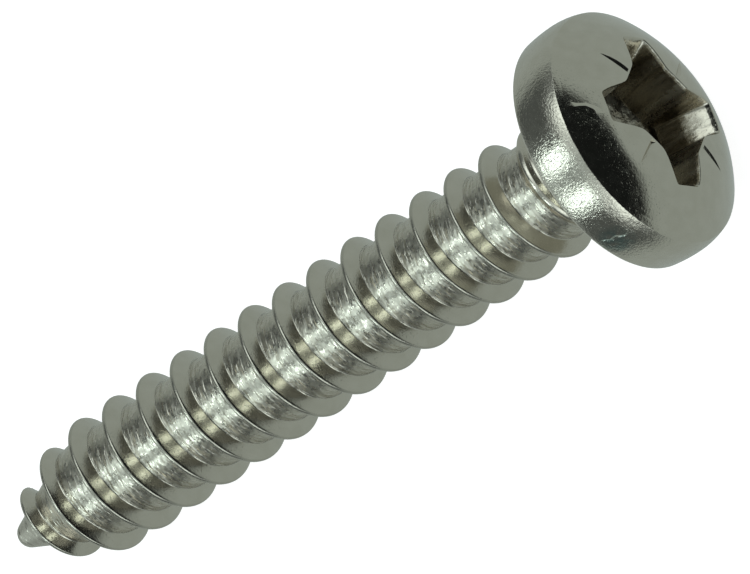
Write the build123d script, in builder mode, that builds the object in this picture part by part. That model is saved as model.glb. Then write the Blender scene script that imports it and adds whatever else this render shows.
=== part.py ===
from build123d import *
from math import atan2, ceil, cos, degrees, radians, sin, sqrt, tan
import os

# Self-tapping sheet metal screw, 3.9 mm by 22 mm, with a pan head and a
# cross recess with extra radial marks. It is one piece of cold formed steel.
# It is drawn standing, with its axis on Z and the head's bearing face at
# Z = 0, and is laid down on its side at the end. Sizes are in millimetres.

# Head
head_radius = 3.60           # at its widest, part of the way up the side
widest_height = 0.80         # of that place, above the bearing face
foot_radius = 3.49           # at the bearing face, before its edge is rounded
foot_rounding = 0.10
shoulder_radius = 3.42       # where the side meets the dome
shoulder_height = 1.53
shoulder_rounding = 0.14
dome_height = 2.80           # whole height of the head

# Shank and point
length = 22.2                # from the bearing face to the end of the point
core_radius = 1.45
neck_rounding = 0.45         # fillet under the head
point_half_angle = 22.5
point_blend = 2.0            # radius where the point's cone meets the core
tip_radius = 0.40            # of the blunt end

# Thread
pitch = 1.30
crest_radius = 1.87
crest_flat = 0.10
flank_angle = 30.0           # of each flank, from a plane square to the axis
root_overlap = 0.17          # how far the ridge reaches into the core
crest_sunk = 0.025           # how far its crest is below the core at each end
thread_turn = 118.0          # direction of the crest at turn_depth
turn_depth = 3.0             # below the bearing face
start_above_tip = 0.70       # first sign of the thread, above the tip
start_turns = 0.35           # turns in which the ridge rises
runout_below_head = 0.72     # end of the thread, below the bearing face
runout_turns = 1.2           # turns in which the ridge sinks
points_per_turn = 16

# Cross recess
recess_span = 4.18           # across two wings, where they meet the dome
wing_width = 0.88            # at the end of a wing
wing_flare = 20.0            # how each side of a wing opens inwards
web_radius = 1.42            # to the flat between two wings
recess_depth = 2.05          # from the top of the head to the floor
end_draft = 14.0             # slope of the wing ends
side_draft = 4.0             # slope of the other walls
floor_cone_depth = 0.32
recess_turn = 3.6            # direction of the first wing
above_head = 0.10            # cutting shapes start this far above the dome

# Radial marks between the wings
mark_inner = 1.62
mark_outer = 2.36
mark_width = 0.11
mark_depth = 0.07            # at the inner end, running out to nothing

os.makedirs("parts", exist_ok=True)

# The dome is part of a sphere through the shoulder and the top of the head.
dome_rise = dome_height - shoulder_height
dome_radius = (shoulder_radius**2 + dome_rise**2) / (2 * dome_rise)


def dome_at(radius):
    return dome_height - dome_radius + sqrt(dome_radius**2 - radius**2)


# The blunt end is a ball that the point's cone touches.
point_slope = tan(radians(point_half_angle))
ball_edge_radius = tip_radius * cos(radians(point_half_angle))
ball_edge_height = -length + tip_radius * (1 - sin(radians(point_half_angle)))
cone_top = ball_edge_height + (core_radius - ball_edge_radius) / point_slope
blend_reach = point_blend * tan(radians(point_half_angle / 2))


def core_at(height):
    below = cone_top - height
    if abs(below) < blend_reach:
        return core_radius - point_slope * (below + blend_reach)**2 / (4 * blend_reach)
    return core_radius - point_slope * max(0.0, below)


# Head, neck, core and point are one turned shape.
with BuildPart() as screw_standing:
    with BuildSketch(Plane.XZ) as half_section:
        with BuildLine():
            CenterArc(
                (0, -length + tip_radius),
                tip_radius,
                -90,
                90 - point_half_angle,
            )
            Line((ball_edge_radius, ball_edge_height), (core_radius, cone_top))
            Line((core_radius, cone_top), (core_radius, -neck_rounding))
            CenterArc(
                (core_radius + neck_rounding, -neck_rounding),
                neck_rounding,
                180,
                -90,
            )
            Line((core_radius + neck_rounding, 0), (foot_radius, 0))
            TangentArc(
                (head_radius, widest_height),
                (foot_radius, 0),
                tangent=(0, -1),
            )
            TangentArc(
                (head_radius, widest_height),
                (shoulder_radius, shoulder_height),
                tangent=(0, 1),
            )
            ThreePointArc(
                (shoulder_radius, shoulder_height),
                (shoulder_radius / 2, dome_at(shoulder_radius / 2)),
                (0, dome_height),
            )
            Line((0, dome_height), (0, -length))
        make_face()
        corners = half_section.vertices()
        point_corner = corners.sort_by_distance((core_radius, cone_top, 0))[0]
        fillet(point_corner, point_blend)
        corners = half_section.vertices()
        foot = corners.sort_by_distance((foot_radius, 0, 0))[0]
        fillet(foot, foot_rounding)
        corners = half_section.vertices()
        shoulder = corners.sort_by_distance((shoulder_radius, shoulder_height, 0))[0]
        fillet(shoulder, shoulder_rounding)
    revolve(axis=Axis.Z)

    # The thread is one ridge. It climbs out of the point, follows the cone
    # and the core, and sinks back into the neck below the head.
    thread_height = crest_radius - core_radius
    thread_start = -length + start_above_tip
    thread_end = -runout_below_head
    thread_travel = thread_end - thread_start

    def crest_at(height):
        rise = (height - thread_start) / (start_turns * pitch)
        fall = (thread_end - height) / (runout_turns * pitch)
        share = min(1.0, rise, fall)
        return core_at(height) - crest_sunk + (thread_height + crest_sunk) * share

    steps = ceil(thread_travel / pitch * points_per_turn)
    crest_points = []
    for step in range(steps + 1):
        height = thread_start + thread_travel * step / steps
        turn = radians(thread_turn + 360 * (height + turn_depth) / pitch)
        radius = crest_at(height)
        crest_points.append((radius * cos(turn), radius * sin(turn), height))
    with BuildLine() as crest_line:
        Spline(*crest_points)

    first_turn = radians(thread_turn + 360 * (thread_start + turn_depth) / pitch)
    ridge_plane = Plane(
        origin=(0, 0, thread_start),
        x_dir=(cos(first_turn), sin(first_turn), 0),
        z_dir=(-sin(first_turn), cos(first_turn), 0),
    )
    ridge_depth = thread_height + root_overlap
    ridge_half_width = crest_flat / 2 + ridge_depth * tan(radians(flank_angle))
    first_crest = crest_at(thread_start)
    with BuildSketch(ridge_plane) as ridge_section:
        with BuildLine():
            Polyline(
                (first_crest - ridge_depth, -ridge_half_width),
                (first_crest, -crest_flat / 2),
                (first_crest, crest_flat / 2),
                (first_crest - ridge_depth, ridge_half_width),
                close=True,
            )
        make_face()
    sweep(path=crest_line.line, is_frenet=True)

    # The recess is a cross of four wings that are wider towards the middle,
    # with a flat web between each two. All its walls lean in with depth.
    rim_height = dome_at(recess_span / 2)
    floor_height = dome_height - recess_depth
    flare_slope = tan(radians(wing_flare))

    def recess_outline(height):
        depth = rim_height - height
        reach = recess_span / 2 - depth * tan(radians(end_draft))
        lean = depth * tan(radians(side_draft))
        end_half = wing_width / 2 + (recess_span / 2 - reach) * flare_slope - lean
        web_sum = sqrt(2) * (web_radius - lean)
        web_x = (web_sum - end_half - reach * flare_slope) / (1 - flare_slope)
        web_y = web_sum - web_x
        outline = []
        for wing in range(4):
            turn = radians(recess_turn + 90 * wing)
            for along, across in (
                (web_x, -web_y),
                (reach, -end_half),
                (reach, end_half),
                (web_x, web_y),
            ):
                x = along * cos(turn) - across * sin(turn)
                y = along * sin(turn) + across * cos(turn)
                outline.append((x, y))
        return outline

    for height in (dome_height + above_head, floor_height):
        with BuildSketch(Plane.XY.offset(height)):
            with BuildLine():
                Polyline(*recess_outline(height), close=True)
            make_face()
    loft(ruled=True, mode=Mode.SUBTRACT)
    floor_radius = web_radius - (rim_height - floor_height) * tan(radians(side_draft))
    with Locations((0, 0, floor_height - floor_cone_depth / 2)):
        Cone(
            bottom_radius=floor_radius / 3,
            top_radius=floor_radius,
            height=floor_cone_depth,
            mode=Mode.SUBTRACT,
        )

    # Between the wings are the four radial marks of this kind of recess.
    mark_start = (mark_inner, dome_at(mark_inner) - mark_depth)
    mark_fall = dome_at(mark_outer) - mark_start[1]
    mark_run = mark_outer - mark_inner
    mark_length = sqrt(mark_run**2 + mark_fall**2)
    mark_scale = (mark_depth + above_head) / mark_depth
    for corner in range(4):
        turn = radians(recess_turn + 45 + 90 * corner)
        mark_plane = Plane(
            origin=(mark_inner * cos(turn), mark_inner * sin(turn), mark_start[1]),
            x_dir=(-sin(turn), cos(turn), 0),
            z_dir=(mark_run * cos(turn), mark_run * sin(turn), mark_fall),
        )
        with BuildSketch(mark_plane):
            with BuildLine():
                Polyline(
                    (0, 0),
                    (mark_width / 2 * mark_scale, mark_depth * mark_scale),
                    (-mark_width / 2 * mark_scale, mark_depth * mark_scale),
                    close=True,
                )
            make_face()
        extrude(amount=mark_length, mode=Mode.SUBTRACT)

# At rest the screw lies on the widest ring of its head and on the first full
# crest above the point. Its axis then leans by a few degrees.
rest_angle = degrees(
    atan2(head_radius - crest_radius, widest_height - cone_top)
)
with BuildPart() as screw:
    with Locations(Location((0, 0, 0), (0, 90 - rest_angle, 0))):
        add(screw_standing.part)

screw.part.label = "screw"
export_step(screw.part, "parts/screw.step")
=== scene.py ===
from math import atan2, cos, hypot, pi, radians, sin, sqrt, tan

import bmesh
import bpy
import numpy as np
from mathutils import Matrix, Vector


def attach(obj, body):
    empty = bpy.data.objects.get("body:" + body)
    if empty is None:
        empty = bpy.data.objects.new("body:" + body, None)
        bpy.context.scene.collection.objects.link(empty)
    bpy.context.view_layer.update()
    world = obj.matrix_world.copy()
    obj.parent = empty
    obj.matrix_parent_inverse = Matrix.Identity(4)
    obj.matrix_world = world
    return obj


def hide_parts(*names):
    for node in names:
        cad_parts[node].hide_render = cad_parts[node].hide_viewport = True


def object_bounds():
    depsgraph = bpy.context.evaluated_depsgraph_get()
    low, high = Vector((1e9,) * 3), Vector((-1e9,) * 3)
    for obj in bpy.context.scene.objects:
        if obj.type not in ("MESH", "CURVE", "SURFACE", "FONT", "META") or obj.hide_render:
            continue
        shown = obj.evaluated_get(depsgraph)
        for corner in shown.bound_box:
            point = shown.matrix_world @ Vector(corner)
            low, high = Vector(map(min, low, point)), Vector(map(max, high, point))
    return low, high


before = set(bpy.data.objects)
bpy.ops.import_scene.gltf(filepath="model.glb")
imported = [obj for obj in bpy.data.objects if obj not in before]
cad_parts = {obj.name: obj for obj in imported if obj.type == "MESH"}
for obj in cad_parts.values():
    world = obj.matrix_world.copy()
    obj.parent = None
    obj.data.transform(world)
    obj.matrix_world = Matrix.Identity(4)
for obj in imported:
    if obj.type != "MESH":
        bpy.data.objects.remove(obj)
cad_low, cad_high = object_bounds()

# Camera: a long lens, high above the side of the screw and towards its
# head, so that the screw runs from the lower left to the head at the upper
# right and shows its recess. The camera is turned about its line of sight.
rest_angle = 4.909
axis = Vector((cos(radians(rest_angle)), 0, sin(radians(rest_angle))))
above = Vector((-sin(radians(rest_angle)), 0, cos(radians(rest_angle))))
camera_tilt = radians(31.66)
camera_side = radians(28.0)
front = above * cos(camera_side) + Vector((0, -1, 0)) * sin(camera_side)
to_camera = axis * sin(camera_tilt) + front * cos(camera_tilt)
along = (axis - to_camera * axis.dot(to_camera)).normalized()
across = axis.cross(to_camera).normalized()
picture_turn = radians(33.586)
picture_right = along * cos(picture_turn) + across * sin(picture_turn)
picture_up = along * sin(picture_turn) - across * cos(picture_turn)
aim_right = -0.006134
aim_up = -0.003585
aim = picture_right * aim_right + picture_up * aim_up
camera_distance = 0.6678

camera_data = bpy.data.cameras.new("camera")
camera_data.sensor_width = 36
camera_data.lens = 1200
camera_data.clip_start = 0.01
camera_data.clip_end = 10
camera = bpy.data.objects.new("camera", camera_data)
bpy.context.scene.collection.objects.link(camera)
turned = Matrix((picture_right, picture_up, to_camera)).transposed().to_4x4()
camera.matrix_world = Matrix.Translation(aim + to_camera * camera_distance) @ turned
bpy.context.scene.camera = camera


# Shank: the blank's pin, with the tapping thread rolled into it and a blunt
# rolled point. It is drawn standing, in millimetres, with the axis on Z and
# the head's bearing face at zero, as the whole screw is until it is laid down.
length = 22.2
core_radius = 1.45
crest_radius = 1.87
crest_flat = 0.10
crest_rounding = 0.08
flank_angle = 30.0
root_rounding = 0.03
pitch = 1.30
thread_turn = 118.0            # the crest stands here round the shank, at turn_depth
turn_depth = 3.0
start_above_tip = 0.70
start_turns = 0.26
runout_below_head = 0.72
runout_turns = 1.2
point_half_angle = 22.5
point_blend = 2.0
tip_radius = 0.40
neck_cut = -0.60
round_steps = 144
weld_gap = 0.0004              # points nearer than this are one point

point_slope = tan(radians(point_half_angle))
ball_edge_radius = tip_radius * cos(radians(point_half_angle))
ball_edge_height = -length + tip_radius * (1 - sin(radians(point_half_angle)))
cone_top = ball_edge_height + (core_radius - ball_edge_radius) / point_slope
blend_reach = point_blend * tan(radians(point_half_angle / 2))
thread_height = crest_radius - core_radius
thread_start = -length + start_above_tip
thread_end = -runout_below_head


def core_at(height):
    below = cone_top - height
    blended = core_radius - point_slope * (below + blend_reach) ** 2 / (4 * blend_reach)
    straight = core_radius - point_slope * np.maximum(0.0, below)
    return np.where(np.abs(below) < blend_reach, blended, straight)


def arc_points(before, corner, after, radius, steps):
    """Points of the rounding of a corner, from one side to the other."""
    corner = Vector(corner)
    back = (Vector(before) - corner).normalized()
    ahead = (Vector(after) - corner).normalized()
    half = back.angle(ahead) / 2
    reach = radius / tan(half)
    centre = corner + (back + ahead).normalized() * (radius / sin(half))
    first = corner + back * reach - centre
    last = corner + ahead * reach - centre
    turn = first.angle(last)
    points = []
    for step in range(steps + 1):
        share = step / steps
        mixed = first * sin(turn * (1 - share)) + last * sin(turn * share)
        points.append(tuple(centre + mixed / sin(turn)))
    return points


# Half of the thread's section over one pitch, as height above the core and
# place along the axis, from the middle of the root to the middle of the crest.
flank_run = thread_height * tan(radians(flank_angle))
flank_foot = (0.0, -crest_flat / 2 - flank_run)
flank_top = (thread_height, -crest_flat / 2)
half_section = [(0.0, place) for place in (-pitch / 2, -0.48, -0.34)]
half_section += arc_points((0, -pitch / 2), flank_foot, flank_top, root_rounding, 2)
for share in (0.10, 0.50, 0.82):
    half_section.append((thread_height * share, flank_foot[1] + flank_run * share))
half_section += arc_points(flank_foot, flank_top, (thread_height, 0), crest_rounding, 4)
thread_section = half_section + [(thread_height, 0.0)]
thread_section += [(rise, -place) for rise, place in reversed(half_section)]

# The section is drawn with one moving point, then wound up the axis from
# below the blunt end to above the neck.
bpy.ops.object.select_all(action="DESELECT")
bpy.ops.mesh.primitive_plane_add(size=1)
shank = bpy.context.object
shank.name = "steel_screw"
bpy.ops.object.mode_set(mode="EDIT")
bpy.ops.mesh.select_mode(type="VERT")
bpy.ops.mesh.select_all(action="SELECT")
bpy.ops.mesh.merge(type="CENTER")
spare_thread = 0.2
lowest_crest = -turn_depth - pitch * thread_turn / 360
while lowest_crest + pitch / 2 > ball_edge_height - spare_thread:
    lowest_crest -= pitch
pen = Vector((0, 0, 0))
for number, (rise, place) in enumerate(thread_section):
    target = Vector((core_radius + rise, 0, lowest_crest + place))
    if number == 0:
        bpy.ops.transform.translate(value=target - pen)
    else:
        bpy.ops.mesh.extrude_vertices_move(
            TRANSFORM_OT_translate={"value": target - pen}
        )
    pen = target
bpy.ops.object.mode_set(mode="OBJECT")
winding = shank.modifiers.new("winding", "SCREW")
winding.axis = "Z"
winding.angle = 2 * pi
winding.screw_offset = pitch
winding.steps = round_steps
winding.render_steps = round_steps
winding.iterations = int((neck_cut - lowest_crest + pitch / 2) / pitch) + 1
winding.use_smooth_shade = True
bpy.ops.object.modifier_apply(modifier="winding")


def spots_of(piece):
    """The places of a piece's points, one row for each."""
    spots = np.empty(len(piece.data.vertices) * 3)
    piece.data.vertices.foreach_get("co", spots)
    return spots.reshape(-1, 3)


def move_spots(piece, spots):
    """Moves a piece's points to new places, in the same order."""
    piece.data.vertices.foreach_set("co", spots.ravel())
    piece.data.update()


# The ridge is low at its two ends, follows the point's cone, and is cut off
# square at the neck and at the start of the blunt end.
spots = spots_of(shank)
heights = np.clip(spots[:, 2], ball_edge_height, neck_cut)
turns = np.arctan2(spots[:, 1], spots[:, 0])
rises = np.hypot(spots[:, 0], spots[:, 1]) - core_radius
climb = (spots[:, 2] - thread_start) / (start_turns * pitch)
sinking = (thread_end - spots[:, 2]) / (runout_turns * pitch)
shares = np.clip(np.minimum(climb, sinking), 0.0, 1.0)
radii = core_at(heights) + rises * shares
spots[:, 0] = radii * np.cos(turns)
spots[:, 1] = radii * np.sin(turns)
spots[:, 2] = heights
move_spots(shank, spots)
bpy.ops.object.mode_set(mode="EDIT")
bpy.ops.mesh.select_all(action="SELECT")
bpy.ops.mesh.remove_doubles(threshold=weld_gap)


def place_ring(points, start):
    """Moves the selected ring of points, in order round the axis from start,
    and tells where round the axis its first point is."""
    slack = 0.005
    mesh = bmesh.from_edit_mesh(bpy.context.object.data)
    ring = [vertex for vertex in mesh.verts if vertex.select]
    ring.sort(key=lambda vertex: (atan2(vertex.co.y, vertex.co.x) - start + slack) % (2 * pi))
    for vertex, point in zip(ring, points):
        vertex.co = point
    bmesh.update_edit_mesh(bpy.context.object.data)
    return atan2(points[0][1], points[0][0])


def turned_ring(radius, height):
    """The points of a ring round the axis, in even steps."""
    steps = [2 * pi * step / round_steps for step in range(round_steps)]
    return [(radius * cos(turn), radius * sin(turn), height) for turn in steps]


# The blunt end is a part of a ball, and its rings close in on the axis.
end_slack = 0.0001
bpy.ops.mesh.select_all(action="DESELECT")
mesh = bmesh.from_edit_mesh(shank.data)
for vertex in mesh.verts:
    vertex.select = vertex.co.z < ball_edge_height + end_slack
mesh.select_flush(True)
bmesh.update_edit_mesh(shank.data)
ring_start = 0.0
for lean in [radians(lean_angle) for lean_angle in (34, 46, 58, 69, 79)]:
    bpy.ops.mesh.extrude_edges_move()
    height = -length + tip_radius * (1 - sin(lean))
    ring_start = place_ring(turned_ring(tip_radius * cos(lean), height), ring_start)
bpy.ops.mesh.extrude_edges_move()
bpy.ops.mesh.merge(type="CENTER")
place_ring([(0, 0, -length)], ring_start)
bpy.ops.object.mode_set(mode="OBJECT")


# Head: a pan head, upset from the same blank, with a flat bearing face, a
# rounded side and a shallow dome. The cross recess is punched into the dome
# when the head is formed, with four wings and a web between each two.
head_radius = 3.60
widest_height = 0.80
foot_radius = 3.53
foot_rounding = 0.10
shoulder_radius = 3.49
shoulder_height = 1.45
shoulder_rounding = 0.07
dome_height = 2.80
crown_flat = 0.34              # how far the punch flattened the middle of the dome
crown_edge = 2.58              # and how far out it reaches
neck_rounding = 0.45
neck_ring = -0.52              # the first ring above the one that shank and head share
recess_span = 4.18
wing_width = 0.88
wing_flare = 20.0
web_radius = 1.42
recess_depth = 2.05
wall_top = 2.9                 # the walls are drawn from here, above the dome
end_draft = 14.0
side_draft = 4.0
floor_cone_depth = 0.32
floor_fit = 0.985              # how much of the room between the webs its cone takes
recess_turn = 3.6
recess_shift = (-0.15, 0.01)   # how far off the axis the recess was punched
rim_rounding = 0.028
lip_size = 0.17                # how far the ends of the wings open at the dome
lip_depth = 0.85
lip_start = 1.45
lip_run = 0.35
corner_rounding = 0.09

dome_rise = dome_height - shoulder_height
dome_radius = (shoulder_radius**2 + dome_rise**2) / (2 * dome_rise)
floor_height = dome_height - recess_depth


def dome_at(radius):
    """Height of the dome at a radius: a ball, flatter in the middle."""
    ball = dome_height - dome_radius + np.sqrt(dome_radius**2 - radius**2)
    inside = np.maximum(0.0, 1 - (radius / crown_edge) ** 2)
    return ball - crown_flat * inside**2


def side_points(end_radius, end_height, steps):
    """The side of the head, from the widest place to one of its ends."""
    rise = end_height - widest_height
    drop = head_radius - end_radius
    bow = (rise**2 + drop**2) / (2 * drop)
    full = atan2(rise, bow - drop)
    points = []
    for step in range(steps + 1):
        lean = full * step / steps
        points.append((head_radius - bow * (1 - cos(lean)), widest_height + bow * sin(lean)))
    return points


lower_side = list(reversed(side_points(foot_radius, 0.0, 8)))
upper_side = side_points(shoulder_radius, shoulder_height, 8)
turned_section = [(core_radius, neck_ring)]
turned_section += arc_points((core_radius, -1), (core_radius, 0), (2, 0), neck_rounding, 6)
turned_section += [(radius, 0.0) for radius in (2.1, 2.5, 2.9, 3.2, 3.34)]
turned_section += arc_points((0, 0), (foot_radius, 0), lower_side[1], foot_rounding, 4)
turned_section += lower_side[2:-1] + upper_side[:-1]
shoulder_after = (shoulder_radius - 0.1, dome_at(shoulder_radius - 0.1))
turned_section += arc_points(
    upper_side[-2],
    (shoulder_radius, shoulder_height),
    shoulder_after,
    shoulder_rounding,
    3,
)

bpy.ops.object.select_all(action="DESELECT")
bpy.ops.mesh.primitive_circle_add(
    vertices=round_steps, radius=core_radius, fill_type="NOTHING"
)
head = bpy.context.object
bpy.ops.object.mode_set(mode="EDIT")
bpy.ops.mesh.select_mode(type="EDGE")
bpy.ops.mesh.select_all(action="SELECT")
ring_start = place_ring(turned_ring(core_radius, neck_cut), 0.0)
for radius, height in turned_section:
    bpy.ops.mesh.extrude_edges_move()
    ring_start = place_ring(turned_ring(radius, height), ring_start)


def recess_ring(height, outward=0.0):
    """The recess's outline at a height, with rounded corners, as one ring of
    points, or a ring that lies outside it on the dome."""
    rim_height = dome_at(recess_span / 2)
    depth = rim_height - height
    reach = recess_span / 2 - depth * tan(radians(end_draft))
    lean = depth * tan(radians(side_draft))
    flare = tan(radians(wing_flare))
    end_half = wing_width / 2 + (recess_span / 2 - reach) * flare - lean
    web_sum = sqrt(2) * (web_radius - lean)
    web_x = (web_sum - end_half - reach * flare) / (1 - flare)
    web_y = web_sum - web_x
    reach += outward
    end_half += outward * (1 / cos(radians(wing_flare)) - flare)
    diagonal = 0.71
    web_x += outward * diagonal
    web_y += outward * diagonal
    corners = []
    for wing in range(4):
        turn = radians(recess_turn + 90 * wing)
        for x, y in (
            (reach, 0.0),
            (reach, end_half),
            (web_x, web_y),
            (web_y, web_x),
            (end_half, reach),
        ):
            corners.append(
                Vector((x * cos(turn) - y * sin(turn), x * sin(turn) + y * cos(turn)))
            )

    def rounded_reach(corner, neighbour):
        """How far a rounding runs along one side, at most 0.3 of that side."""
        return min(corner_rounding + outward, (neighbour - corner).length * 0.3)

    points_between = (2, 4, 3, 4, 2)
    ring = []
    for number, corner in enumerate(corners):
        before = corners[number - 1]
        after = corners[(number + 1) % len(corners)]
        kind = number % 5
        if kind == 0:
            end = corner
            ring.append(corner)
        else:
            start = corner + (before - corner).normalized() * rounded_reach(corner, before)
            end = corner + (after - corner).normalized() * rounded_reach(corner, after)
            for step in range(5):
                share = step / 4
                ring.append(
                    start * (1 - share) ** 2
                    + corner * 2 * share * (1 - share)
                    + end * share**2
                )
        after_reach = 0.0 if kind == 4 else rounded_reach(corner, after)
        stop = after + (corner - after).normalized() * after_reach
        for step in range(1, points_between[kind] + 1):
            ring.append(end + (stop - end) * step / (points_between[kind] + 1))
    return ring


def flared(x, y, height):
    """A point of the recess, moved out where the ends of the wings open."""
    wing = round((atan2(y, x) - radians(recess_turn)) / (pi / 2)) * pi / 2
    turn = wing + radians(recess_turn)
    reach = x * cos(turn) + y * sin(turn)
    depth = dome_at(recess_span / 2) - height
    share = min(1.0, max(0.0, (reach - lip_start) / lip_run))
    shift = lip_size * share * min(1.0, max(0.0, 1 - depth / lip_depth))
    return (x + shift * cos(turn), y + shift * sin(turn))


def on_dome(ring):
    """The same points, up or down on the dome."""
    return [(x, y, dome_at(hypot(x, y))) for x, y in ring]


def at_rim(outward, below):
    """Where the recess's walls meet the dome, or a little below that. As the
    walls lean and the dome is curved, the height is found step by step."""
    high = recess_ring(wall_top, outward)
    low = recess_ring(floor_height, outward)
    points = []
    for top, bottom in zip(high, low):
        height = 2.4
        for _ in range(8):
            share = (wall_top - height) / (wall_top - floor_height)
            spot = top + (bottom - top) * share
            height = dome_at(spot.length) - below
        x, y = flared(spot.x, spot.y, height)
        points.append((x, y, dome_at(hypot(x, y)) - below))
    return points


def eased(share):
    """A share that starts and ends softly."""
    return share * share * (3 - 2 * share)


# The dome's rings turn little by little from even steps to the places of the
# rim's points, and then close in on the rim. All rings have as many points.
rim = at_rim(rim_rounding, 0.0)
assert len(rim) == round_steps, len(rim)
rim_turns = np.unwrap([atan2(y, x) for x, y, z in rim])
circle_turns = np.array([2 * pi * step / round_steps for step in range(round_steps)])
dome_rings = (3.34, 3.2, 3.05, 2.9, 2.75, 2.6, 2.48)
for number, radius in enumerate(dome_rings):
    share = eased((number + 1) / len(dome_rings))
    mixed = circle_turns * (1 - share) + rim_turns * share
    bpy.ops.mesh.extrude_edges_move()
    ring_start = place_ring(
        on_dome([(radius * cos(turn), radius * sin(turn)) for turn in mixed]),
        ring_start,
    )
inmost = dome_rings[-1]
outer = [Vector((inmost * cos(turn), inmost * sin(turn))) for turn in rim_turns]
for share in (0.2, 0.38, 0.54, 0.68, 0.8, 0.9, 0.96):
    bpy.ops.mesh.extrude_edges_move()
    ring = [a + (Vector(b[:2]) - a) * share for a, b in zip(outer, rim)]
    ring_start = place_ring(on_dome(ring), ring_start)
for out_share, down_share in ((1.0, 0.0), (0.45, 0.12), (0.12, 0.45), (0.0, 1.0)):
    bpy.ops.mesh.extrude_edges_move()
    ring = at_rim(rim_rounding * out_share, rim_rounding * down_share)
    ring_start = place_ring(ring, ring_start)

# The recess's walls go down to its floor, whose outline grows round and then
# falls away as a blunt cone.
rim_foot = at_rim(0.0, rim_rounding)
floor_ring = recess_ring(floor_height)
wall_high = recess_ring(wall_top)
for share in (0.06, 0.16, 0.28, 0.40, 0.51, 0.55, 0.66, 0.78, 0.90, 1.0):
    bpy.ops.mesh.extrude_edges_move()
    ring = []
    for foot, high, low in zip(rim_foot, wall_high, floor_ring):
        height = foot[2] + (floor_height - foot[2]) * share
        level = (wall_top - height) / (wall_top - floor_height)
        spot = high + (low - high) * level
        ring.append((*flared(spot.x, spot.y, height), height))
    ring_start = place_ring(ring, ring_start)
wall_lean = (dome_at(recess_span / 2) - floor_height) * tan(radians(side_draft))
floor_radius = floor_fit * (web_radius - wall_lean)
for share, radius_share, drop in (
    (0.5, 1.0, 0.0),
    (1.0, 1.0, 0.01),
    (1.0, 0.78, 0.33),
    (1.0, 0.56, 0.66),
    (1.0, 0.34, 1.0),
    (1.0, 0.12, 1.0),
):
    bpy.ops.mesh.extrude_edges_move()
    ring = []
    for x, y in floor_ring:
        turn = atan2(y, x)
        size = hypot(x, y) * (1 - share) + floor_radius * share * radius_share
        height = floor_height - floor_cone_depth * drop
        ring.append((size * cos(turn), size * sin(turn), height))
    ring_start = place_ring(ring, ring_start)
bpy.ops.mesh.extrude_edges_move()
bpy.ops.mesh.merge(type="CENTER")
bpy.ops.object.mode_set(mode="OBJECT")

# The recess is moved off the axis. The dome gives way round it, and its rim
# stays on the dome. The side and the bearing face stay where they are.
give_radius = 3.0
give_run = 0.62
give_above = 0.35
spots = spots_of(head)
radii = np.hypot(spots[:, 0], spots[:, 1])
domes = dome_at(radii)
gives = eased(np.clip((give_radius - radii) / give_run, 0, 1))
gives = gives * (spots[:, 2] > give_above)
spots[:, 0] += gives * recess_shift[0]
spots[:, 1] += gives * recess_shift[1]
near_rim = np.clip((spots[:, 2] - floor_height) / (domes - floor_height), 0, 1)
moved = dome_at(np.hypot(spots[:, 0], spots[:, 1])) - domes
spots[:, 2] += moved * near_rim * (gives > 0)
move_spots(head, spots)

# The two halves of the drawing are one piece of steel: they share the ring
# of points at the neck.
shank.select_set(True)
bpy.context.view_layer.objects.active = shank
bpy.ops.object.join()
bpy.ops.object.mode_set(mode="EDIT")
bpy.ops.mesh.select_mode(type="VERT")
bpy.ops.mesh.select_all(action="SELECT")
bpy.ops.mesh.remove_doubles(threshold=weld_gap)
bpy.ops.mesh.normals_make_consistent(inside=False)
bpy.ops.object.mode_set(mode="OBJECT")

# Radial marks: four short grooves between the wings, that tell this kind of
# recess. Each is pressed in, and runs out to nothing away from the middle.
mark_inner = 1.50
mark_outer = 2.36
mark_width = 0.15
mark_depth = 0.08
mark_above = 0.10              # how far the wedge that cuts it stands above the dome
wedge_scale = (mark_depth + mark_above) / mark_depth
for corner in range(4):
    turn = radians(recess_turn + 45 + 90 * corner)
    bpy.ops.object.select_all(action="DESELECT")
    bpy.ops.mesh.primitive_cylinder_add(vertices=3, radius=1, depth=2)
    cutter = bpy.context.object
    flat = Vector((-sin(turn), cos(turn), 0))
    outwards = Vector((cos(turn), sin(turn), 0))
    # A wedge, with one edge along the bottom of the groove and two over the dome.
    for vertex in cutter.data.vertices:
        place = vertex.co.copy()
        radius = mark_inner if place.z < 0 else mark_outer
        spot = outwards * radius + Vector((*recess_shift, 0))
        spot.z = dome_at(spot.length) - (mark_depth if place.z < 0 else 0.0)
        if place.y < 0.5:
            side = 1 if place.x > 0 else -1
            spot += flat * (side * mark_width / 2 * wedge_scale)
            spot += Vector((0, 0, mark_depth * wedge_scale))
        vertex.co = spot
    bpy.ops.object.mode_set(mode="EDIT")
    bpy.ops.mesh.select_all(action="SELECT")
    bpy.ops.mesh.normals_make_consistent(inside=False)
    bpy.ops.object.mode_set(mode="OBJECT")
    bpy.ops.object.select_all(action="DESELECT")
    shank.select_set(True)
    bpy.context.view_layer.objects.active = shank
    cut = shank.modifiers.new("mark", "BOOLEAN")
    cut.object = cutter
    cut.operation = "DIFFERENCE"
    cut.solver = "EXACT"
    bpy.ops.object.modifier_apply(modifier="mark")
    bpy.data.objects.remove(cutter)

# How each place was finished, as one colour for each point: red on the
# mottled side of the head, green on the rolled root of the thread and on the
# point, blue in the punched recess, where it also masks painted shade, and
# alpha on the worn crest. The flanks and the dome have none.
side_radius = 3.30
thread_below = -0.3
recess_within = 2.7
recess_above = 0.3


def passed(values, start, run):
    """0 up to a start, 1 from the end of a run, and even steps between."""
    return np.clip((values - start) / run, 0, 1)


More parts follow.
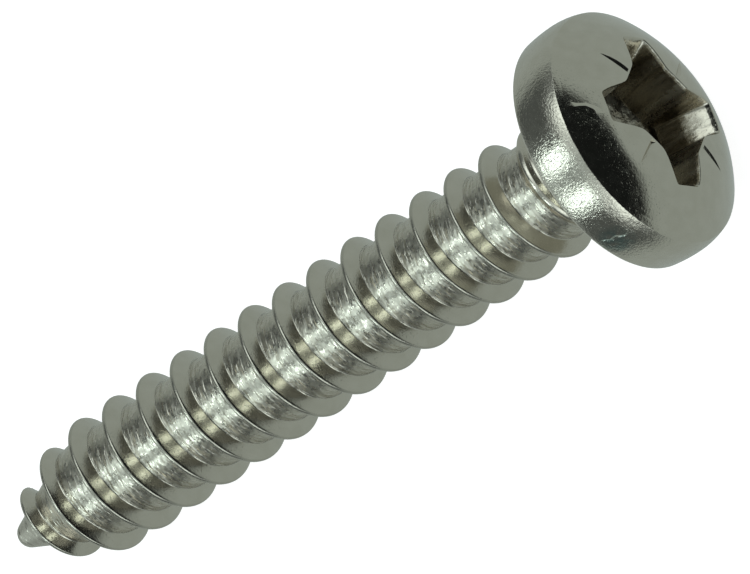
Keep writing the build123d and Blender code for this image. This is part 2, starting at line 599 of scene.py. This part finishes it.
spots = spots_of(shank)
radii = np.hypot(spots[:, 0], spots[:, 1])
heights = spots[:, 2]
above_core = radii - core_at(heights)
under_dome = dome_at(radii) - heights
on_side = passed(radii, side_radius, 0.10)
on_side *= 1 - passed(heights, shoulder_height - 0.02, 0.08)
on_root = 1 - passed(above_core, 0.004, 0.02)
on_root *= 1 - passed(heights, thread_below - 0.2, 0.2)
in_recess = passed(under_dome, 0.01, 0.05)
in_recess *= (radii < recess_within) * (heights > recess_above)
on_crest = passed(above_core, 0.385, 0.02) * (heights < thread_below)
finish = np.stack((on_side, on_root, in_recess, on_crest), axis=1)
finishes = shank.data.color_attributes.new("finish", "FLOAT_COLOR", "POINT")
finishes.data.foreach_set("color", finish.ravel())

# Laid down on the floor, and in metres.
millimetre = 0.001
crease_angle = 40.0
shank.rotation_euler = (0, radians(90 - rest_angle), 0)
shank.scale = (millimetre, millimetre, millimetre)
bpy.ops.object.transform_apply(location=True, rotation=True, scale=True)
bpy.ops.object.shade_smooth_by_angle(angle=radians(crease_angle))
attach(shank, "root")
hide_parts("screw")

# Stainless steel: bright and warm, as it left the rolls, the punch and the
# tumbling drum.
steel = bpy.data.materials.new("stainless_steel")
steel.use_nodes = True
nodes = steel.node_tree.nodes
links = steel.node_tree.links
shader = nodes["Principled BSDF"]
shader.inputs["Metallic"].default_value = 1.0

# Places on the screw in millimetres, as it was drawn standing.
object_place = nodes.new("ShaderNodeTexCoord")
standing = nodes.new("ShaderNodeMapping")
standing.inputs["Rotation"].default_value = (0, radians(rest_angle - 90), 0)
standing.inputs["Scale"].default_value = (1 / millimetre, 1 / millimetre, 1 / millimetre)
links.new(object_place.outputs["Object"], standing.inputs["Vector"])
place_parts = nodes.new("ShaderNodeSeparateXYZ")
links.new(standing.outputs["Vector"], place_parts.inputs["Vector"])
standing_height = place_parts.outputs["Z"]
finish_colour = nodes.new("ShaderNodeAttribute")
finish_colour.attribute_name = "finish"
finish_parts = nodes.new("ShaderNodeSeparateColor")
links.new(finish_colour.outputs["Color"], finish_parts.inputs["Color"])
side_share = finish_parts.outputs["Red"]
root_share = finish_parts.outputs["Green"]
recess_share = finish_parts.outputs["Blue"]
crest_share = finish_colour.outputs["Alpha"]


def grain(stretch, detail, rough=0.5, turn=(0, 0, 0)):
    """Noise with about so many grains to a millimetre along each axis."""
    placed = nodes.new("ShaderNodeMapping")
    placed.inputs["Rotation"].default_value = turn
    placed.inputs["Scale"].default_value = stretch
    links.new(standing.outputs["Vector"], placed.inputs["Vector"])
    pattern = nodes.new("ShaderNodeTexNoise")
    pattern.inputs["Scale"].default_value = 1.0
    pattern.inputs["Detail"].default_value = detail
    pattern.inputs["Roughness"].default_value = rough
    links.new(placed.outputs["Vector"], pattern.inputs["Vector"])
    return pattern.outputs["Fac"]


def remapped(value, low, high, out_low, out_high):
    """A value that runs from one range to another and stays in it."""
    step = nodes.new("ShaderNodeMapRange")
    step.inputs["From Min"].default_value = low
    step.inputs["From Max"].default_value = high
    step.inputs["To Min"].default_value = out_low
    step.inputs["To Max"].default_value = out_high
    links.new(value, step.inputs["Value"])
    return step.outputs["Result"]


def combined(operation, first, second=0.0):
    """Two values, or a value and a plain number, put together."""
    step = nodes.new("ShaderNodeMath")
    step.operation = operation
    links.new(first, step.inputs[0])
    if isinstance(second, (int, float)):
        step.inputs[1].default_value = second
    else:
        links.new(second, step.inputs[1])
    return step.outputs["Value"]


# Height of the surface, in hundredths of a millimetre. The side of the head
# has the fine pitted skin of the tumbled blank, the rolled root has streaks
# round the shank, the recess has streaks along the punch, and the flanks and
# the dome only a faint grain and stray scratches.
side_grain = combined("MULTIPLY", grain((15, 15, 15), 2, 0.6), side_share)
side_waves = combined("MULTIPLY", grain((3.2, 3.2, 3.2), 1), side_share)
root_streaks = combined("MULTIPLY", grain((1.6, 1.6, 8), 2, 0.6), root_share)
root_pits = combined("MULTIPLY", grain((7, 7, 10), 2), root_share)
punch_streaks = combined("MULTIPLY", grain((4.5, 4.5, 0.4), 2), recess_share)
skin = grain((17, 17, 17), 2)
specks = remapped(grain((19, 19, 19), 0, turn=(0.5, 0, 0)), 0.68, 0.80, 0, 1)
lines_one = remapped(grain((0.5, 24, 0.5), 1, turn=(0.4, 0.9, 0.5)), 0.66, 0.74, 0, 1)
lines_two = remapped(grain((21, 0.4, 0.4), 1, turn=(1.2, 0.3, 2.1)), 0.67, 0.75, 0, 1)
surface = combined("MULTIPLY", side_grain, 0.95)
for part, depth in (
    (side_waves, 0.8),
    (root_streaks, 5.2),
    (root_pits, 0.8),
    (punch_streaks, 3.0),
    (skin, 0.18),
    (specks, 0.14),
    (lines_one, -0.04),
    (lines_two, -0.04),
):
    surface = combined("ADD", surface, combined("MULTIPLY", part, depth))


def reach_along(towards):
    """How far a place lies from the axis, in millimetres, towards one side."""
    step = nodes.new("ShaderNodeVectorMath")
    step.operation = "DOT_PRODUCT"
    step.inputs[1].default_value = towards
    links.new(standing.outputs["Vector"], step.inputs[0])
    return step.outputs["Value"]


def crooked_line(towards, offset, width):
    """1 on a crooked line and 0 away from it."""
    bent = remapped(grain((2, 2, 2), 1), 0, 1, -0.30, 0.30)
    away = combined("ADD", combined("ADD", reach_along(towards), offset), bent)
    return remapped(combined("ABSOLUTE", away), 0.0, width, 1, 0)


# A dent at the edge of the dome, a short crooked line pressed by another piece.
dent = crooked_line((0.49, 0.87, 0.0), 1.585, 0.14)
along_dent = reach_along((0.87, -0.49, 0.0))
for limit in (
    remapped(along_dent, -2.95, -2.75, 0, 1),
    remapped(along_dent, -2.30, -2.00, 1, 0),
    remapped(standing_height, 1.5, 1.6, 0, 1),
):
    dent = combined("MULTIPLY", dent, limit)
surface = combined("ADD", surface, combined("MULTIPLY", dent, 1.6))

# A rub mark low on the side of the head: a scratch with a stain beside it.
stain_place = (-1.57, -3.22, 0.55)
from_stain = nodes.new("ShaderNodeVectorMath")
from_stain.operation = "DISTANCE"
from_stain.inputs[1].default_value = stain_place
links.new(standing.outputs["Vector"], from_stain.inputs[0])
stain_near = remapped(from_stain.outputs["Value"], 0.25, 0.60, 1, 0)
stain_spots = remapped(grain((5, 5, 5), 2, turn=(0.3, 0, 0)), 0.35, 0.60, 0.2, 1)
stained = combined("MULTIPLY", stain_near, stain_spots)
scratch = crooked_line((0.90, -0.44, 0.0), 0.13, 0.05)
scratch = combined("MULTIPLY", scratch, stain_near)
surface = combined("ADD", surface, combined("MULTIPLY", scratch, -1.2))

relief = nodes.new("ShaderNodeBump")
relief.inputs["Strength"].default_value = 1.0
relief.inputs["Distance"].default_value = 0.01 * millimetre
links.new(surface, relief.inputs["Height"])
links.new(relief.outputs["Normal"], shader.inputs["Normal"])

# The mottled and streaked places are also less polished, in patches.
patches = remapped(grain((5, 5, 8), 3), 0.35, 0.65, -0.02, 0.04)
on_thread = remapped(standing_height, -0.2, -0.4, 0.0, 0.05)
polish = combined("ADD", combined("MULTIPLY", side_share, 0.04), patches)
polish = combined("ADD", polish, on_thread)
rolled = remapped(grain((6, 6, 8), 2), 0.35, 0.65, 0.03, 0.18)
polish = combined("ADD", polish, combined("MULTIPLY", rolled, root_share))
punched = grain((2.4, 2.4, 0.25), 2, turn=(0, 0, 0.4))
streaky = remapped(punched, 0.35, 0.65, 0.02, 0.16)
polish = combined("ADD", polish, combined("MULTIPLY", streaky, recess_share))
polish = combined("ADD", polish, combined("MULTIPLY", crest_share, 0.06))
links.new(combined("ADD", polish, 0.13), shader.inputs["Roughness"])


def toned(under, colour, share):
    """A colour that turns into another one where the share is 1."""
    tone = nodes.new("ShaderNodeMix")
    tone.data_type = "RGBA"
    links.new(share, tone.inputs["Factor"])
    links.new(under, tone.inputs[6])
    tone.inputs[7].default_value = (*colour, 1)
    return tone.outputs[2]


# Warm steel, a little uneven in colour, with painted shade that turns the recess
# dark brown towards its bottom, duller on the crest of the thread, and teal where it was
# stained.
painted_shade_brown = (0.20, 0.165, 0.12)
crest_grey = (0.50, 0.47, 0.40)
stain_teal = (0.26, 0.40, 0.38)
stains = nodes.new("ShaderNodeValToRGB")
stains.color_ramp.elements[0].position = 0.30
stains.color_ramp.elements[0].color = (0.575, 0.535, 0.452, 1)
stains.color_ramp.elements[1].position = 0.70
stains.color_ramp.elements[1].color = (0.620, 0.578, 0.495, 1)
links.new(grain((2.5, 2.5, 4), 4), stains.inputs["Fac"])
# Painted shade: the recess's colour darkens towards its bottom, more where the punch's
# streaks run.
painted_recess_shade = remapped(standing_height, 2.3, 1.2, 0.15, 0.75)
painted_recess_shade = combined("MULTIPLY", painted_recess_shade, remapped(punched, 0.35, 0.62, 1.10, 0.20))
painted_recess_shade = combined("MULTIPLY", painted_recess_shade, recess_share)
steel_tone = toned(stains.outputs["Color"], painted_shade_brown, painted_recess_shade)
steel_tone = toned(steel_tone, crest_grey, crest_share)
steel_tone = toned(steel_tone, stain_teal, combined("MULTIPLY", stained, 0.65))
links.new(steel_tone, shader.inputs["Base Color"])
shank.data.materials.clear()
shank.data.materials.append(steel)

# Floor: a white light table that the screw lies on. The steel doesn't mirror
# it, so the screw stands out grey from the white ground.
table_size = 4.0
bpy.ops.object.select_all(action="DESELECT")
bpy.ops.mesh.primitive_plane_add(size=table_size, location=(0, 0, cad_low.z))
floor = bpy.context.object
floor.name = "floor"
floor.visible_glossy = False
floor.visible_shadow = False
pale = bpy.data.materials.new("pale_table")
pale.use_nodes = True
table_shader = pale.node_tree.nodes["Principled BSDF"]
table_shader.inputs["Base Color"].default_value = (0.45, 0.45, 0.45, 1)
table_shader.inputs["Roughness"].default_value = 0.9
table_shader.inputs["Specular IOR Level"].default_value = 0.0
table_shader.inputs["Emission Color"].default_value = (1, 1, 1, 1)
table_shader.inputs["Emission Strength"].default_value = 0.90
floor.data.materials.append(pale)

# Light: the screw lies in a grey room, in front of a dark wall towards its
# head, with a pale arch over its middle and two lamps over its point.
# The room is drawn by the direction that light comes from.
world = bpy.data.worlds.new("room")
bpy.context.scene.world = world
world.use_nodes = True
room_nodes = world.node_tree.nodes
room_links = world.node_tree.links
backdrop = room_nodes["Background"]
direction = room_nodes.new("ShaderNodeTexCoord")


def room_ramp(towards, stops, size_only=False):
    """Shades that follow how far a direction points towards one side."""
    part = room_nodes.new("ShaderNodeVectorMath")
    part.operation = "DOT_PRODUCT"
    part.inputs[1].default_value = towards
    room_links.new(direction.outputs["Generated"], part.inputs[0])
    value = part.outputs["Value"]
    if size_only:
        size = room_nodes.new("ShaderNodeMath")
        size.operation = "ABSOLUTE"
        room_links.new(value, size.inputs[0])
        value = size.outputs["Value"]
    half = room_nodes.new("ShaderNodeMath")
    half.operation = "MULTIPLY_ADD"
    half.inputs[1].default_value = 0.5
    half.inputs[2].default_value = 0.5
    room_links.new(value, half.inputs[0])
    ramp = room_nodes.new("ShaderNodeValToRGB")
    ramp.color_ramp.interpolation = "EASE"
    elements = ramp.color_ramp.elements
    while len(elements) < len(stops):
        elements.new(0.5)
    for element, (reach, shade) in zip(elements, stops):
        element.position = 0.5 + 0.5 * reach
        element.color = (*shade, 1)
    room_links.new(half.outputs["Value"], ramp.inputs["Fac"])
    return ramp.outputs["Color"]


def room_mixed(kind, first, second):
    """Two sets of shades, added or multiplied."""
    step = room_nodes.new("ShaderNodeMix")
    step.data_type = "RGBA"
    step.blend_type = kind
    step.inputs["Factor"].default_value = 1.0
    room_links.new(first, step.inputs[6])
    room_links.new(second, step.inputs[7])
    return step.outputs[2]


# Away from the viewer the room is an even grey. On the viewer's side it gets
# darker from the point to the head, under a pale strip that ends before it.
black = (0.0, 0.0, 0.0)
white = (1.0, 1.0, 1.0)
surround = room_ramp(front, [(-0.07, (0.190, 0.218, 0.210)), (0.01, black)])
open_side = room_ramp(front, [(-0.07, black), (0.01, white)])
wall = room_ramp(
    axis,
    [
        (-0.98, (0.20, 0.23, 0.23)),
        (-0.72, (0.045, 0.052, 0.052)),
        (0.35, (0.035, 0.040, 0.040)),
        (0.60, (0.005, 0.006, 0.006)),
    ],
)
strip_shade = (0.10, 0.12, 0.12)
ceiling = room_ramp(
    across,
    [(-0.42, black), (-0.22, strip_shade), (0.24, strip_shade), (0.44, black)],
)
ceiling_end = room_ramp(axis, [(0.05, white), (0.35, black)])

# The pale arch spans the room, and is brightest half-way down its two sides.
arch_shade = (0.88, 1.0, 1.0)
arch = room_ramp(
    axis,
    [(-0.32, black), (0.08, arch_shade), (0.38, arch_shade), (0.58, black)],
)
arch_sides = room_ramp(
    across,
    [
        (reach, (shade, shade, shade))
        for reach, shade in (
            (0.05, 0.10),
            (0.37, 0.32),
            (0.55, 0.55),
            (0.70, 0.90),
            (0.82, 0.72),
            (0.96, 0.06),
        )
    ],
    size_only=True,
)
lit = room_mixed("ADD", wall, room_mixed("MULTIPLY", arch, arch_sides))
lit = room_mixed("ADD", lit, room_mixed("MULTIPLY", ceiling, ceiling_end))
shown = room_mixed("ADD", surround, room_mixed("MULTIPLY", lit, open_side))
backdrop.inputs["Strength"].default_value = 2.0
room_links.new(shown, backdrop.inputs["Color"])


def add_lamp(name, towards, distance, width, height, radiance):
    """A soft lamp that faces the screw. Its long side runs along the screw."""
    data = bpy.data.lights.new(name, "AREA")
    data.shape = "RECTANGLE"
    data.size = width
    data.size_y = height
    data.energy = radiance * pi * width * height
    data.color = (0.83, 1.0, 1.0)
    lamp = bpy.data.objects.new(name, data)
    bpy.context.scene.collection.objects.link(lamp)
    facing = towards.normalized()
    side = (axis - facing * axis.dot(facing)).normalized()
    up = facing.cross(side)
    lamp.matrix_world = (
        Matrix.Translation(facing * distance)
        @ Matrix((side, up, facing)).transposed().to_4x4()
    )


# A lamp stands at twice the angle at which the shank mirrors it.
towards_point = 0.49
towards_top = 0.87
for name, lamp_side in (("lamp_left", -9.0), ("lamp_right", 11.0)):
    lamp_turn = 2 * radians(lamp_side)
    overhead = front * cos(lamp_turn) + across * sin(lamp_turn)
    add_lamp(
        name,
        axis * -towards_point + overhead * towards_top,
        distance=0.5,
        width=0.31,
        height=0.10,
        radiance=3.45,
    )

bpy.context.scene.view_settings.view_transform = "Standard"
bpy.context.scene.view_settings.look = "None"
